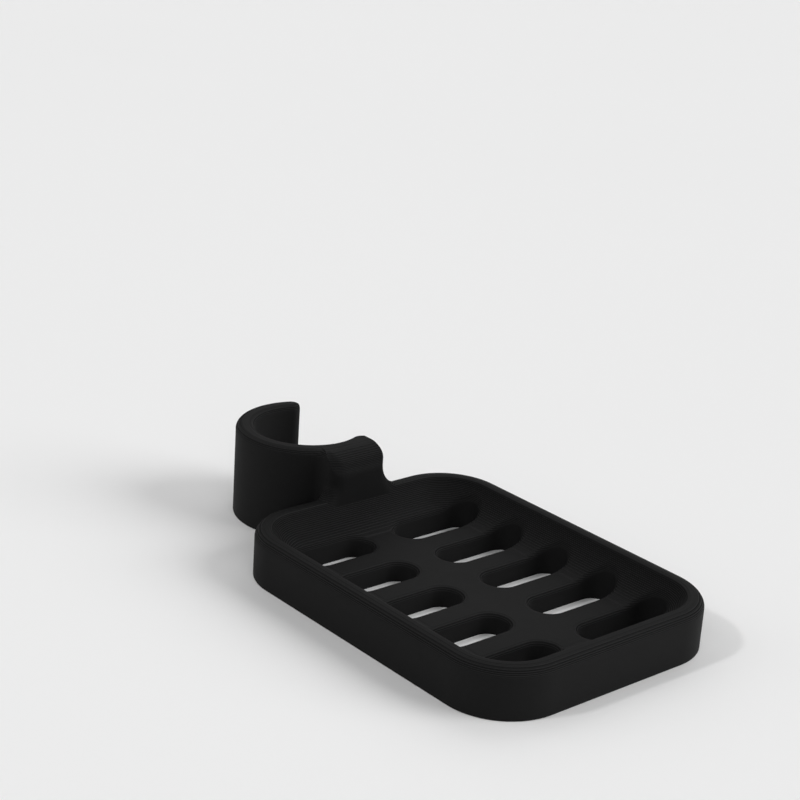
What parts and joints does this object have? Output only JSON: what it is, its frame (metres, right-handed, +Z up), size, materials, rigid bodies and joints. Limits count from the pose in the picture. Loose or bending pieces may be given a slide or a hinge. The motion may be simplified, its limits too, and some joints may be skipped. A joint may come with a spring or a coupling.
{
  "type": "clip-on soap holder",
  "caption": "Slotted soap tray with a deep coved pocket and a C-shaped snap clip on one short side that grips an upright bathroom rail.",
  "frame": {"origin": "middle of the whole footprint, at the bottom", "axes": "+X along the tray away from the clip, +Y to the side that the clip's mouth faces, +Z up along the rail"},
  "size_m": [0.1642, 0.09, 0.03],
  "materials": {
    "black_print": "matte black printed plastic with fine level layer lines"
  },
  "bodies": {
    "holder": {"soap_tray": "black_print", "clip_neck": "black_print"},
    "clip_spring": {"clip_arm": "black_print"}
  },
  "joints": [
    {"name": "clip_arm_flex", "type": "hinge", "parent": "holder", "child": "clip_spring", "pos_m": [-0.05965, -0.0225, 0.015], "axis": [0, 0, 1], "range_deg": [0, 6], "stiffness_Nm_per_rad": 20}
  ]
}
